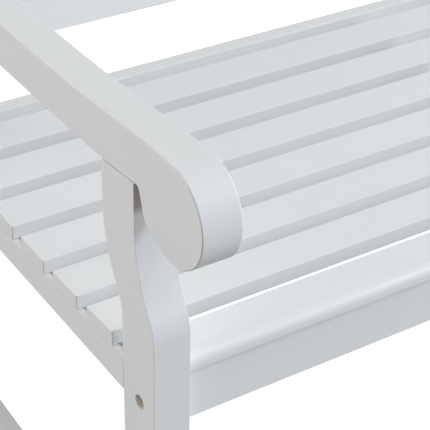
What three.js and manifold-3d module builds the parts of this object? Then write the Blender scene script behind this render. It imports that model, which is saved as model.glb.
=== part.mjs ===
import * as THREE from 'three';
import { mergeVertices } from 'three/addons/utils/BufferGeometryUtils.js';
import Module from 'manifold-3d';

// A two-seat rocking bench in painted wood, in millimetres, +Z up.
// X runs along the seat, Y from the front to the back. While it is built, Y = 0 is the rear face
// of the front legs at seat height and Z = 0 is the floor under the rockers' lowest point.
// At the end the bench is centred over its own outline.

// Overall sizes
const benchWidth = 1240;
const railUndersideHeight = 358;

// Clearances
const jointGap = 0.3;
const boltClearance = 0.3;
const overrun = 5;
const weldDistance = 0.001;

// Front legs: an S bend sets the top back from the foot
const legWidth = 38;
const legDepth = 56.2;
const legSetBack = 32;
const legBendStart = 85.5;
const legLowerBendRadius = 48;
const legUpperBendRadius = 142;

// Seat: flat slats on a dished curve, lowest some way behind the front edge
const slatWidth = 50.5;
const slatGap = 19.85;
const slatThickness = 16;
const slatCount = 6;
const seatDipRise = 49.1;
const seatDipY = 153;
const seatFrontRadius = 1950;
const seatRearRadius = 3425;
const secondSlatFrontY = 20.95;
const frontSlatRearY = 0.3;
const frontSlatDrop = 2.5;
const nosingSetBack = 6.4;
const nosingRadius = 10;
const nosingLowerRadius = 1;

// Rails of the seat frame
const apronThickness = 22.5;
const apronHeight = 62;
const apronSetBack = 15.2;
const rearRailThickness = 21;
const rearRailHeight = 62;
const sideRailThickness = 22;
const railLipThickness = 6.5;
const railRebateDepth = 14;
const supportThickness = 22;

// Armrests with a scroll at the front, its heel rounded and leaning towards the leg
const armRise = 232.8;
const armThickness = 47.1;
const armWidth = 38.5;
const armSetIn = 1.2;
const armTopSweepY = 160;
const armTopSweepRadius = 2500;
const armUndersideSweepY = 82.2;
const armUndersideSweepRadius = 1060;
const scrollRadius = 47.5;
const scrollCentreY = -83.8;
const scrollCrown = 7.4;
const crownRadius = 500;
const heelTangent = THREE.MathUtils.degToRad(27);
const heelLean = THREE.MathUtils.degToRad(18);
const heelCornerRadius = 13;
const heelNotchY = -29.7;
const heelNotchRadius = 6;

// Back posts: upright below the seat, leaning back above it
const postDepth = 54;
const postSlatClearance = 1.5;
const postBendStart = 20;
const postBendRadius = 500;
const postRake = THREE.MathUtils.degToRad(13);
const postTopRadius = 12;

// Back rails and slats
const backRailThickness = 22;
const lowerBackRailStart = 4;
const lowerBackRailHeight = 52;
const backSlatReveal = 300;
const topBackRailHeight = 72;
const topBackRailDrop = 6;
const backSlatCount = 13;
const backSlatWidth = 50.5;
const backSlatThickness = 12;
const mortiseDepth = 8;

// Rockers
const rockerRadius = 1200;
const rockerDepth = 60;
const rockerThickness = 21;
const rockerContactY = 283;
const rockerFrontReach = 440;
const rockerRearReach = 440;

// Connector bolts with a wide flat head, and the barrel nuts that they draw on
const boltHeadRadius = 7;
const boltHeadThickness = 2.8;
const boltHeadChamfer = 0.6;
const boltShankRadius = 3;
const boltTipChamfer = 0.8;
const socketRadius = 2.7;
const socketDepth = 2;
const counterboreRadius = 7.6;
const counterboreDepth = 6.2;
const nutInset = 30;
const boltPastNut = 8;
const nutRadius = 5;
const nutLength = 14;
const rockerBoltReach = 45;

// Facets
const arcFacet = THREE.MathUtils.degToRad(2.5);
const bendFacets = 6;
const scrollFacets = 14;
const sweepFacets = 8;
const roundFacets = 5;
const seatFacets = 14;
const headFacets = 20;
const boreFacets = 14;
const socketFacets = 6;

// Finishes
const paint = { color: 0xeceeef, roughness: 0.42, metalness: 0 };
const zinc = { color: 0xbdae92, roughness: 0.35, metalness: 0.9 };

// Heights and places that follow from the sizes above
const innerFaceX = benchWidth / 2 - legWidth;
const crossLength = 2 * (innerFaceX - jointGap);
const slatPitch = slatWidth + slatGap;
const frontSlatTopZ = seatHeight(frontSlatRearY) - frontSlatDrop;
const apronFrontY = apronSetBack - legDepth;
const apronRearY = apronFrontY + apronThickness;
const apronTopZ = frontSlatTopZ - slatThickness - jointGap;
const apronBoltY = (apronFrontY + apronRearY) / 2;
const apronBoltZ = apronTopZ - apronHeight / 2;
const lastSlatRearY = secondSlatFrontY + slatCount * slatPitch - slatGap;
const postFrontY = lastSlatRearY + postSlatClearance;
const postCentreY = postFrontY + postDepth / 2;
const rearRailFrontY = postCentreY - rearRailThickness / 2;
const rearRailTopZ = seatHeight(postCentreY);
const rearRailBoltZ = rearRailTopZ - rearRailHeight / 2;
const armUndersideZ = railUndersideHeight + armRise;
const armTopZ = armUndersideZ + armThickness;
const bendEndY = postCentreY + postBendRadius * (1 - Math.cos(postRake));
const bendEndZ = railUndersideHeight + postBendStart + postBendRadius * Math.sin(postRake);
const lowerBackRailTop = lowerBackRailStart + lowerBackRailHeight;
const topRailStart = lowerBackRailTop + backSlatReveal;
const postTopLength = topRailStart + topBackRailHeight + topBackRailDrop;
const lowerRailBoltZ = lowerBackRailStart + lowerBackRailHeight / 2;
const topRailBoltZ = topRailStart + topBackRailHeight / 2;
const frontLegCentreY = -legDepth / 2;
const rockerTopRadius = rockerRadius - rockerDepth;

// Height of the seat's top surface above the floor at a place from front to back
function seatHeight(y) {
  const radius = y < seatDipY ? seatFrontRadius : seatRearRadius;
  return railUndersideHeight + seatDipRise + (y - seatDipY) ** 2 / (2 * radius);
}

function seatSlope(y) {
  const radius = y < seatDipY ? seatFrontRadius : seatRearRadius;
  return Math.atan((y - seatDipY) / radius);
}

// Top of a rail that carries the slats, a joint gap under them
function slatBearing(y) {
  return seatHeight(y) - slatThickness / Math.cos(seatSlope(y)) - jointGap;
}

function bearingPoints(fromY, toY) {
  const points = [];
  for (let i = 0; i <= seatFacets; i++) {
    const y = fromY + (toY - fromY) * i / seatFacets;
    points.push([y, slatBearing(y)]);
  }
  return points;
}

// Rise of the armrest's underside, and of its top, above their level parts
function armSweep(y) {
  return Math.max(0, armUndersideSweepY - y) ** 2 / (2 * armUndersideSweepRadius);
}

function armTopSweep(y) {
  return Math.max(0, armTopSweepY - y) ** 2 / (2 * armTopSweepRadius);
}

// Top edge of the rocker, where the legs stand
function rockerTop(y) {
  return rockerRadius - Math.sqrt(rockerTopRadius ** 2 - (y - rockerContactY) ** 2);
}

function footPoints(frontY, rearY) {
  const points = [];
  for (let i = 0; i <= bendFacets; i++) {
    const y = frontY + (rearY - frontY) * i / bendFacets;
    points.push([y, rockerTop(y) + jointGap]);
  }
  return points;
}

// Front face of the back post at a height above the bend
function postFace(z) {
  return bendEndY + (z - bendEndZ) * Math.tan(postRake) - postDepth / 2 / Math.cos(postRake);
}

// Place of a point of the leaning back, given across it and up along it
function backPlace(across, along) {
  return [
    bendEndY + across * Math.cos(postRake) + along * Math.sin(postRake),
    bendEndZ - across * Math.sin(postRake) + along * Math.cos(postRake),
  ];
}

function arc(centreY, centreZ, radius, from, to, facets) {
  const points = [];
  for (let i = 0; i <= facets; i++) {
    const angle = from + (to - from) * i / facets;
    points.push([centreY + radius * Math.cos(angle), centreZ + radius * Math.sin(angle)]);
  }
  return points;
}

// An arc that rounds the corner between two straight edges of an outline
function roundedCorner(before, corner, after, radius) {
  const middle = new THREE.Vector2(...corner);
  const back = new THREE.Vector2(...before).sub(middle).normalize();
  const ahead = new THREE.Vector2(...after).sub(middle).normalize();
  const half = back.angleTo(ahead) / 2;
  const centre = back.clone().add(ahead).normalize().multiplyScalar(radius / Math.sin(half));
  const start = back.clone().multiplyScalar(radius / Math.tan(half)).sub(centre);
  const turn = Math.sign(back.cross(ahead)) * (Math.PI - 2 * half);
  centre.add(middle);
  return arc(centre.x, centre.y, radius, start.angle(), start.angle() - turn, roundFacets);
}

// A board cut from its side view, given as points of Y and Z, and as thick as asked along X
function sideBoard(outline, thickness) {
  const shape = new THREE.Shape(outline.map(([y, z]) => new THREE.Vector2(y, z)));
  const geometry = new THREE.ExtrudeGeometry(shape, { depth: thickness, bevelEnabled: false });
  const turn = new THREE.Matrix4().makeBasis(
    new THREE.Vector3(0, 1, 0), new THREE.Vector3(0, 0, 1), new THREE.Vector3(1, 0, 0));
  return geometry.applyMatrix4(turn);
}

function block(low, high) {
  const size = new THREE.Vector3().subVectors(high, low);
  const geometry = new THREE.BoxGeometry(size.x, size.y, size.z);
  return geometry.translate(...new THREE.Vector3().addVectors(low, high).divideScalar(2).toArray());
}

// A round cutter or pin between two points
function rod(from, to, radius, facets) {
  const axis = new THREE.Vector3().subVectors(to, from);
  const geometry = new THREE.CylinderGeometry(radius, radius, axis.length(), facets);
  const turn = new THREE.Quaternion().setFromUnitVectors(
    new THREE.Vector3(0, 1, 0), axis.clone().normalize());
  geometry.applyQuaternion(turn);
  return geometry.translate(...new THREE.Vector3().addVectors(from, to).divideScalar(2).toArray());
}

function toSolid(geometry) {
  const bare = geometry.clone();
  bare.deleteAttribute('normal');
  bare.deleteAttribute('uv');
  const merged = mergeVertices(bare, weldDistance);
  return new wasm.Manifold(new wasm.Mesh({
    numProp: 3,
    vertProperties: merged.attributes.position.array,
    triVerts: new Uint32Array(merged.index.array),
  }));
}

function fromSolid(solid) {
  const mesh = solid.getMesh();
  const geometry = new THREE.BufferGeometry();
  geometry.setAttribute('position', new THREE.BufferAttribute(mesh.vertProperties, 3));
  geometry.setIndex(new THREE.BufferAttribute(mesh.triVerts, 1));
  geometry.computeVertexNormals();
  return geometry;
}

function cut(geometry, cutters) {
  let solid = toSolid(geometry);
  for (const cutter of cutters) solid = solid.subtract(toSolid(cutter));
  return fromSolid(solid);
}

// The same piece for the other side of the bench, with its faces still pointing out
function mirrored(geometry) {
  const solid = toSolid(geometry).mirror([1, 0, 0]);
  return fromSolid(solid);
}

function named(name, geometry, finish) {
  const mesh = new THREE.Mesh(geometry, new THREE.MeshStandardMaterial(finish));
  mesh.name = name;
  return mesh;
}

// Counterbored hole through a leg or post, from its outer face at X = 0
function boltHole(y, z) {
  const outside = new THREE.Vector3(-overrun, y, z);
  return [
    rod(outside, new THREE.Vector3(counterboreDepth, y, z), counterboreRadius, headFacets),
    rod(outside, new THREE.Vector3(legWidth + overrun, y, z),
      boltShankRadius + boltClearance, boreFacets),
  ];
}

// Bolt hole up into the foot of a leg, from the rocker
function footHole(y) {
  const z = rockerTop(y);
  const top = z + rockerBoltReach + jointGap;
  const x = legWidth / 2;
  return rod(new THREE.Vector3(x, y, z - overrun), new THREE.Vector3(x, y, top),
    boltShankRadius + boltClearance, boreFacets);
}

function frontLeg() {
  const bend = Math.acos(1 - legSetBack / (legLowerBendRadius + legUpperBendRadius));
  const startZ = railUndersideHeight + legBendStart;
  const endZ = startZ + (legLowerBendRadius + legUpperBendRadius) * Math.sin(bend);
  const lower = arc(legLowerBendRadius, startZ, legLowerBendRadius, Math.PI, Math.PI - bend, bendFacets);
  const upper = arc(legSetBack - legUpperBendRadius, endZ, legUpperBendRadius, -bend, 0, bendFacets);
  const side = [...lower.slice(0, -1), ...upper];
  const top = [];
  for (let i = 0; i <= bendFacets; i++) {
    const y = legSetBack - legDepth * i / bendFacets;
    top.push([y, armUndersideZ + armSweep(y) - jointGap]);
  }
  const frontEdge = side.map(([y, z]) => [y - legDepth, z]).reverse();
  const board = sideBoard([...footPoints(-legDepth, 0), ...side, ...top, ...frontEdge], legWidth);
  return cut(board, [...boltHole(apronBoltY, apronBoltZ), footHole(frontLegCentreY)]);
}

function backPost() {
  const bendCentreY = postCentreY + postBendRadius;
  const bendStartZ = railUndersideHeight + postBendStart;
  const half = postDepth / 2;
  const front = arc(bendCentreY, bendStartZ, postBendRadius + half, Math.PI, Math.PI - postRake,
    bendFacets);
  const rear = arc(bendCentreY, bendStartZ, postBendRadius - half, Math.PI - postRake, Math.PI,
    bendFacets);
  const frontTop = backPlace(-half, postTopLength);
  const rearTop = backPlace(half, postTopLength);
  const outline = [
    ...front,
    ...roundedCorner(front.at(-1), frontTop, rearTop, postTopRadius),
    ...roundedCorner(frontTop, rearTop, rear[0], postTopRadius),
    ...rear,
    ...footPoints(postFrontY, postFrontY + postDepth).reverse(),
  ];
  return cut(sideBoard(outline, legWidth), [
    ...boltHole(postCentreY, rearRailBoltZ),
    ...boltHole(...backPlace(0, lowerRailBoltZ)),
    ...boltHole(...backPlace(0, topRailBoltZ)),
    footHole(postCentreY),
  ]);
}

// Side rail: its outer face is flush with the legs, and a rebate leaves a lip under the slat ends
function sideRail() {
  const frontY = jointGap;
  const rearY = postFrontY - jointGap;
  const top = bearingPoints(frontY, rearY);
  const foot = [[rearY, railUndersideHeight], [frontY, railUndersideHeight]];
  const low = top.map(([y, z]) => [y, z - railRebateDepth]);
  const lip = sideBoard([...top, ...foot], railLipThickness);
  const body = sideBoard([...low, ...foot], sideRailThickness);
  return fromSolid(toSolid(lip).add(toSolid(body)));
}

// Place where a line through one point meets a line through another
function meetingPoint(point, direction, otherPoint, otherDirection) {
  const start = new THREE.Vector2(...point);
  const along = new THREE.Vector2(...direction);
  const across = new THREE.Vector2(...otherDirection);
  const between = new THREE.Vector2(...otherPoint).sub(start);
  const reach = between.cross(across) / along.cross(across);
  return start.addScaledVector(along, reach).toArray();
}

// Armrest: a level bar that sweeps up to a scroll, with a heel under the scroll before the leg
function armrest() {
  const scrollTopZ = armTopZ + scrollCrown;
  const scrollCentreZ = scrollTopZ - scrollRadius;
  const crownY = armTopSweepY - Math.sqrt(2 * armTopSweepRadius * scrollCrown);
  const top = [];
  for (let i = 0; i < sweepFacets; i++) {
    const y = armTopSweepY + (crownY - armTopSweepY) * i / sweepFacets;
    top.push([y, armTopZ + armTopSweep(y)]);
  }
  const underReach = armUndersideSweepY + legDepth - legSetBack;
  const underside = [];
  for (let i = sweepFacets; i >= 0; i--) {
    const y = armUndersideSweepY - underReach * i / sweepFacets;
    underside.push([y, armUndersideZ + armSweep(y)]);
  }
  const scroll = arc(scrollCentreY, scrollCentreZ, scrollRadius,
    Math.PI / 2, Math.PI * 3 / 2 + heelTangent, scrollFacets);
  const notch = [heelNotchY, armUndersideZ + armSweep(heelNotchY)];
  const heel = meetingPoint(scroll.at(-1), [Math.cos(heelTangent), Math.sin(heelTangent)],
    notch, [Math.sin(heelLean), Math.cos(heelLean)]);
  const outline = [
    ...top,
    ...roundedCorner(top.at(-1), [crownY, scrollTopZ], scroll[0], crownRadius),
    ...scroll,
    ...roundedCorner(scroll.at(-1), heel, notch, heelCornerRadius),
    ...roundedCorner(heel, notch, underside[0], heelNotchRadius),
    ...underside,
    [postFace(armUndersideZ) - jointGap, armUndersideZ],
    [postFace(armTopZ) - jointGap, armTopZ],
  ];
  return sideBoard(outline, armWidth).translate(armSetIn, 0, 0);
}

// Height of the shoulder that a rocker bolt's head bears on
function rockerBoltSeat(y) {
  const reach = Math.abs(y - rockerContactY) + counterboreRadius;
  return rockerRadius - Math.sqrt(rockerRadius ** 2 - reach ** 2) + counterboreDepth;
}

// Rocker: a band between two arcs round one centre, its middle facet flat on the floor
function rocker() {
  const half = arcFacet / 2;
  const frontFacets = Math.round((Math.asin(rockerFrontReach / rockerRadius) - half) / arcFacet);
  const rearFacets = Math.round((Math.asin(rockerRearReach / rockerRadius) - half) / arcFacet);
  const from = -Math.PI / 2 - half - frontFacets * arcFacet;
  const to = -Math.PI / 2 + half + rearFacets * arcFacet;
  const facets = frontFacets + rearFacets + 1;
  const outer = rockerRadius / Math.cos(half);
  const inner = rockerTopRadius / Math.cos(half);
  const tipRadius = (outer - inner) / 2;
  const bottom = arc(rockerContactY, rockerRadius, outer, from, to, facets);
  const top = arc(rockerContactY, rockerRadius, inner, to, from, facets);
  const tip = (end, start) => {
    const y = rockerContactY + (inner + tipRadius) * Math.cos(end);
    const z = rockerRadius + (inner + tipRadius) * Math.sin(end);
    return arc(y, z, tipRadius, start, start + Math.PI, bendFacets).slice(1, -1);
  };
  const outline = [...bottom, ...tip(to, to), ...top, ...tip(from, from - Math.PI)];
  const board = sideBoard(outline, rockerThickness).translate((legWidth - rockerThickness) / 2, 0, 0);
  const cutters = [frontLegCentreY, postCentreY].flatMap((y) => {
    const under = new THREE.Vector3(legWidth / 2, y, -overrun);
    const seat = new THREE.Vector3(legWidth / 2, y, rockerBoltSeat(y));
    const above = new THREE.Vector3(legWidth / 2, y, rockerTop(y) + overrun);
    return [
      rod(under, seat, counterboreRadius, headFacets),
      rod(under, above, boltShankRadius + boltClearance, boreFacets),
    ];
  });
  return cut(board, cutters);
}

// A connector bolt along +Y, its shank's root at the origin and its head behind it
function bolt(length) {
  const profile = [
    [0, -boltHeadThickness], [boltHeadRadius - boltHeadChamfer, -boltHeadThickness],
    [boltHeadRadius, boltHeadChamfer - boltHeadThickness], [boltHeadRadius, 0],
    [boltShankRadius, 0], [boltShankRadius, length - boltTipChamfer],
    [boltShankRadius - boltTipChamfer, length], [0, length],
  ];
  const points = profile.map(([r, y]) => new THREE.Vector2(r, y));
  const body = new THREE.LatheGeometry(points, headFacets);
  const socket = rod(new THREE.Vector3(0, -boltHeadThickness - overrun, 0),
    new THREE.Vector3(0, socketDepth - boltHeadThickness, 0), socketRadius, socketFacets);
  return cut(body, [socket]);
}

// A barrel nut along Y, cross-drilled along X for the bolt
function barrelNut() {
  const half = nutLength / 2;
  const side = nutRadius + overrun;
  const body = rod(new THREE.Vector3(0, -half, 0), new THREE.Vector3(0, half, 0), nutRadius, boreFacets);
  const bore = rod(new THREE.Vector3(-side, 0, 0), new THREE.Vector3(side, 0, 0),
    boltShankRadius + boltClearance, boreFacets);
  return cut(body, [bore]);
}

// Bolt bores in both ends of a cross rail and nut pockets from its rear, round its middle line
function endBores(y, z, thickness) {
  const bores = [];
  for (const side of [-1, 1]) {
    const end = side * (innerFaceX + overrun);
    const blind = side * (innerFaceX - nutInset - boltPastNut - overrun);
    const nutX = side * (innerFaceX - nutInset);
    bores.push(rod(new THREE.Vector3(end, y, z), new THREE.Vector3(blind, y, z),
      boltShankRadius + boltClearance, boreFacets));
    bores.push(rod(new THREE.Vector3(nutX, y + thickness, z),
      new THREE.Vector3(nutX, y - nutLength / 2 - boltClearance, z),
      nutRadius + boltClearance, boreFacets));
  }
  return bores;
}

function crossRail(frontY, thickness, topZ, height) {
  const rail = block(new THREE.Vector3(-crossLength / 2, frontY, topZ - height),
    new THREE.Vector3(crossLength / 2, frontY + thickness, topZ));
  return cut(rail, endBores(frontY + thickness / 2, topZ - height / 2, thickness));
}

// Board on edge under the middle of the seat, from the apron to the rear rail
function centreSupport() {
  const frontY = apronRearY + jointGap;
  const rearY = rearRailFrontY - jointGap;
  const top = [[frontY, apronTopZ], [frontSlatRearY, apronTopZ],
    ...bearingPoints(frontSlatRearY + jointGap, rearY)];
  const outline = [...top, [rearY, railUndersideHeight], [frontY, railUndersideHeight]];
  return sideBoard(outline, supportThickness).translate(-supportThickness / 2, 0, 0);
}

// Front slat between the legs, its front edge rolled over
function frontSlat() {
  const frontY = nosingSetBack - legDepth;
  const bottomZ = frontSlatTopZ - slatThickness;
  const rearTop = [frontSlatRearY, frontSlatTopZ];
  const rearBottom = [frontSlatRearY, bottomZ];
  const outline = [
    rearTop,
    ...roundedCorner(rearTop, [frontY, frontSlatTopZ], [frontY, bottomZ], nosingRadius),
    ...roundedCorner([frontY, frontSlatTopZ], [frontY, bottomZ], rearBottom, nosingLowerRadius),
    rearBottom,
  ];
  return sideBoard(outline, crossLength).translate(-crossLength / 2, 0, 0);
}

function seatSlat() {
  return block(new THREE.Vector3(-benchWidth / 2, -slatWidth / 2, -slatThickness),
    new THREE.Vector3(benchWidth / 2, slatWidth / 2, 0));
}

// Middles of the back slats along the bench
function backSlatPlaces() {
  const gap = (crossLength - backSlatCount * backSlatWidth) / (backSlatCount + 1);
  const first = gap + backSlatWidth / 2 - crossLength / 2;
  return Array.from({ length: backSlatCount }, (_, i) => first + i * (gap + backSlatWidth));
}

// A back rail in the leaning frame, mortised along one edge for the slats
function backRail(start, height, mortisedEdge) {
  const half = backRailThickness / 2;
  const rail = block(new THREE.Vector3(-crossLength / 2, -half, start),
    new THREE.Vector3(crossLength / 2, half, start + height));
  const inward = mortisedEdge === start ? mortiseDepth : -mortiseDepth;
  const outward = mortisedEdge === start ? -overrun : overrun;
  const reach = [mortisedEdge + inward, mortisedEdge + outward];
  const halfWidth = backSlatWidth / 2 + jointGap;
  const halfThickness = backSlatThickness / 2 + jointGap;
  const mortises = backSlatPlaces().map((x) => block(
    new THREE.Vector3(x - halfWidth, -halfThickness, Math.min(...reach)),
    new THREE.Vector3(x + halfWidth, halfThickness, Math.max(...reach))));
  return cut(rail, [...mortises, ...endBores(0, start + height / 2, backRailThickness)]);
}

function backSlat(x) {
  const bottom = lowerBackRailTop - mortiseDepth + jointGap;
  const top = topRailStart + mortiseDepth - jointGap;
  return block(new THREE.Vector3(x - backSlatWidth / 2, -backSlatThickness / 2, bottom),
    new THREE.Vector3(x + backSlatWidth / 2, backSlatThickness / 2, top));
}

const wasm = await Module();
wasm.setup();

const bench = new THREE.Group();
const back = new THREE.Group();
back.position.set(0, bendEndY, bendEndZ);
back.rotation.x = -postRake;
bench.add(back);

// The two side frames
const sideParts = {
  front_leg: frontLeg(),
  back_post: backPost(),
  side_rail: sideRail(),
  armrest: armrest(),
  rocker: rocker(),
};
for (const [side, sign] of [['left', -1], ['right', 1]]) {
  for (const [name, geometry] of Object.entries(sideParts)) {
    const mesh = named(`${side}_${name}`, sign < 0 ? geometry : mirrored(geometry), paint);
    mesh.position.x = sign * benchWidth / 2;
    bench.add(mesh);
  }
}

// Cross rails and the seat
bench.add(named('front_apron', crossRail(apronFrontY, apronThickness, apronTopZ, apronHeight), paint));
bench.add(named('rear_seat_rail',
  crossRail(rearRailFrontY, rearRailThickness, rearRailTopZ, rearRailHeight), paint));
bench.add(named('centre_seat_support', centreSupport(), paint));
bench.add(named('seat_slat_1', frontSlat(), paint));
for (let i = 0; i < slatCount; i++) {
  const slat = named(`seat_slat_${i + 2}`, seatSlat(), paint);
  const y = secondSlatFrontY + slatWidth / 2 + i * slatPitch;
  slat.position.set(0, y, seatHeight(y));
  slat.rotation.x = seatSlope(y);
  bench.add(slat);
}

// The back
back.add(named('lower_back_rail',
  backRail(lowerBackRailStart, lowerBackRailHeight, lowerBackRailTop), paint));
back.add(named('top_back_rail', backRail(topRailStart, topBackRailHeight, topRailStart), paint));
backSlatPlaces().forEach((x, i) => {
  back.add(named(`back_slat_${String(i + 1).padStart(2, '0')}`, backSlat(x), paint));
});

// Connector bolts through the legs and posts into the cross rails, each with its barrel nut
const boltLength = legWidth - counterboreDepth + nutInset + boltPastNut;
const joints = [
  ['apron', bench, apronBoltY, apronBoltZ],
  ['rear_rail', bench, postCentreY, rearRailBoltZ],
  ['lower_back', back, 0, lowerRailBoltZ],
  ['top_back', back, 0, topRailBoltZ],
];
for (const [name, group, y, z] of joints) {
  for (const [side, sign] of [['left', -1], ['right', 1]]) {
    const screw = named(`${side}_${name}_bolt`, bolt(boltLength), zinc);
    screw.rotation.z = sign * Math.PI / 2;
    screw.position.set(sign * (benchWidth / 2 - counterboreDepth + jointGap), y, z);
    const nut = named(`${side}_${name}_nut`, barrelNut(), zinc);
    nut.position.set(sign * (innerFaceX - nutInset), y, z);
    group.add(screw, nut);
  }
}

// Bolts up through the rockers into the feet of the legs and posts
for (const [side, sign] of [['left', -1], ['right', 1]]) {
  for (const [name, y] of [['front', frontLegCentreY], ['rear', postCentreY]]) {
    const root = rockerBoltSeat(y) - jointGap;
    const length = rockerTop(y) + rockerBoltReach - root;
    const screw = named(`${side}_${name}_rocker_bolt`, bolt(length), zinc);
    screw.rotation.x = Math.PI / 2;
    screw.position.set(sign * (benchWidth / 2 - legWidth / 2), y, root);
    bench.add(screw);
  }
}

// Centre the bench over its own outline
const model = new THREE.Group();
const extent = new THREE.Box3().setFromObject(bench);
bench.position.set(0, -(extent.min.y + extent.max.y) / 2, -extent.min.z);
model.add(bench);

export default model;
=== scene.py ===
import math

import bpy
import numpy as np
from bpy.props import FloatProperty, FloatVectorProperty, IntProperty, PointerProperty
from bpy.types import Operator, Panel, PropertyGroup
from mathutils import Matrix, Vector


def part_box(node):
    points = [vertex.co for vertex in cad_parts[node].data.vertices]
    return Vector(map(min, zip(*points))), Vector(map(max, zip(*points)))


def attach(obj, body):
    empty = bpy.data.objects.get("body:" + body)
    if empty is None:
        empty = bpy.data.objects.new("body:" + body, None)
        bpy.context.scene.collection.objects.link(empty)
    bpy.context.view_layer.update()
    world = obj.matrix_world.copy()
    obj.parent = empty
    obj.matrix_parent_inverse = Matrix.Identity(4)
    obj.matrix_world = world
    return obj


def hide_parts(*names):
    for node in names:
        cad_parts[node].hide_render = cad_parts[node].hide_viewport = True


bl_info = {
    "name": "Rocking Bench",
    "version": (1, 0, 0),
    "blender": (4, 5, 0),
    "location": "3D View > Sidebar > Bench",
    "description": "Dresses the bench's frame with rounded, painted timber and plated bolts",
    "category": "Object",
}

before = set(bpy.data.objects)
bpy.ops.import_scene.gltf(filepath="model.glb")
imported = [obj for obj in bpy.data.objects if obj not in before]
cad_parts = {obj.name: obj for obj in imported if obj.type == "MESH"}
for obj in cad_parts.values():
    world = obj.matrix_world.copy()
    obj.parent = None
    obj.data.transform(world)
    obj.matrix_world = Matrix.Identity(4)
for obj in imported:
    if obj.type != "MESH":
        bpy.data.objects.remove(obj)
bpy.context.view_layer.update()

SIDES = ("left", "right")
BODY = "root"
LOOSE_SEAT_SLATS = range(2, 8)
BACK_SLATS = range(1, 14)


def distance(name, description, metres):
    """Setting for a length."""
    return FloatProperty(name=name, description=description, default=metres,
                         subtype="DISTANCE", unit="LENGTH")


def degrees(name, description, turn):
    """Setting for an angle, its default given in degrees."""
    return FloatProperty(name=name, description=description, default=math.radians(turn),
                         subtype="ANGLE", unit="ROTATION")


def shade(name, description, colour):
    """Setting for a colour."""
    return FloatVectorProperty(name=name, description=description, default=colour,
                               subtype="COLOR", size=3, min=0, max=1)


def brightness(name, description, strength):
    """Setting for the strength of a light."""
    return FloatProperty(name=name, description=description, default=strength, min=0)


class BenchSeatSizes(PropertyGroup):
    """Sizes of the seat's slats and rails"""

    slat_width: distance("Slat width", "Width of a seat slat from front to back", 0.0505)
    slat_thickness: distance("Slat thickness", "Thickness of a seat slat", 0.016)
    front_radius: distance(
        "Front dish radius", "Radius of the seat's curve in front of its lowest line", 1.95)
    rear_radius: distance(
        "Rear dish radius", "Radius of the seat's curve behind its lowest line", 3.425)
    dip: distance("Lowest line", "Distance of the seat's lowest line behind the front legs", 0.153)
    slat_corner: distance("Slat end corner", "Radius of a slat's upright corners", 0.001)
    nosing: distance("Nosing radius", "Radius of the front slat's upper front edge", 0.010)
    nosing_under: distance(
        "Nosing underside radius", "Radius of the front slat's lower front edge", 0.001)
    rail_lip: distance(
        "Side rail lip", "Thickness of the side rail's lip under the slat ends", 0.0065)
    rail_rebate: distance(
        "Side rail rebate", "Depth of the rebate inside the side rail's lip", 0.014)


class BenchSideSizes(PropertyGroup):
    """Sizes of the legs, posts and rockers"""

    leg_depth: distance("Leg depth", "Depth of a front leg from front to back", 0.0562)
    leg_set_back: distance(
        "Leg set back", "How far a front leg's top stands behind its foot", 0.032)
    leg_bend_start: distance(
        "Leg bend start", "Height of the bend's start above the side rail's underside", 0.0855)
    leg_lower_bend: distance("Leg lower bend", "Radius of a front leg's lower bend", 0.048)
    leg_upper_bend: distance("Leg upper bend", "Radius of a front leg's upper bend", 0.142)
    post_depth: distance("Post depth", "Depth of a back post from front to back", 0.054)
    post_bend_start: distance(
        "Post bend start", "Height of the post's bend above the side rail's underside", 0.02)
    post_bend: distance("Post bend", "Radius of a back post's bend at its middle line", 0.5)
    rake: degrees("Rake", "Lean of the back from upright", 13)
    post_top: distance("Post top corner", "Radius of a back post's top corners", 0.012)
    rocker_radius: distance("Rocker radius", "Radius of a rocker's lower edge", 1.2)
    rocker_depth: distance(
        "Rocker depth", "Depth of a rocker from its lower to its upper edge", 0.06)


class BenchArmSizes(PropertyGroup):
    """Sizes of the armrests"""

    thickness: distance("Arm thickness", "Height of an armrest's level part", 0.0471)
    top_start: distance(
        "Top's sweep start", "Distance behind the front legs where the top rises", 0.16)
    top_sweep: distance("Top's sweep radius", "Radius of the top's rise towards the scroll", 2.5)
    under_start: distance(
        "Underside's sweep start",
        "Distance behind the front legs where the underside rises", 0.0822)
    under_sweep: distance("Underside's sweep radius", "Radius of the underside's rise", 1.06)
    scroll: distance("Scroll radius", "Radius of the armrest's scroll", 0.0475)
    crown: distance("Crown radius", "Radius where the rise runs into the scroll's top", 0.5)
    crown_rise: distance(
        "Crown rise", "Height of the scroll's top above the armrest's level part", 0.0074)
    heel_tangent: degrees(
        "Heel tangent", "Angle past the scroll's lowest point where the heel leaves it", 27)
    heel_lean: degrees("Heel lean", "Lean of the heel's rear face from upright", 18)
    heel_corner: distance("Heel corner", "Radius of the heel's lower rear corner", 0.013)
    notch: distance("Notch radius", "Radius where the heel meets the armrest's underside", 0.006)
    notch_ahead: distance(
        "Notch place", "Distance of the heel's notch in front of the legs' rear faces", 0.0297)


class BenchBackSizes(PropertyGroup):
    """Sizes of the back's rails and slats"""

    rail_thickness: distance(
        "Back rail thickness", "Thickness of a back rail from front to back", 0.022)
    lower_start: distance(
        "Lower rail start", "Distance of the lower rail's edge up the lean from the bend", 0.004)
    lower_height: distance(
        "Lower rail height", "Height of the lower back rail along the lean", 0.052)
    reveal: distance("Slat reveal", "Clear height between the back rails along the lean", 0.3)
    top_height: distance("Top rail height", "Height of the top back rail along the lean", 0.072)
    top_drop: distance("Top rail drop", "How far the top rail lies under the posts' tops", 0.006)
    slat_thickness: distance("Back slat thickness", "Thickness of a back slat", 0.012)
    mortise: distance("Mortise depth", "Depth of the mortises that hold the back slats", 0.008)


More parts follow.
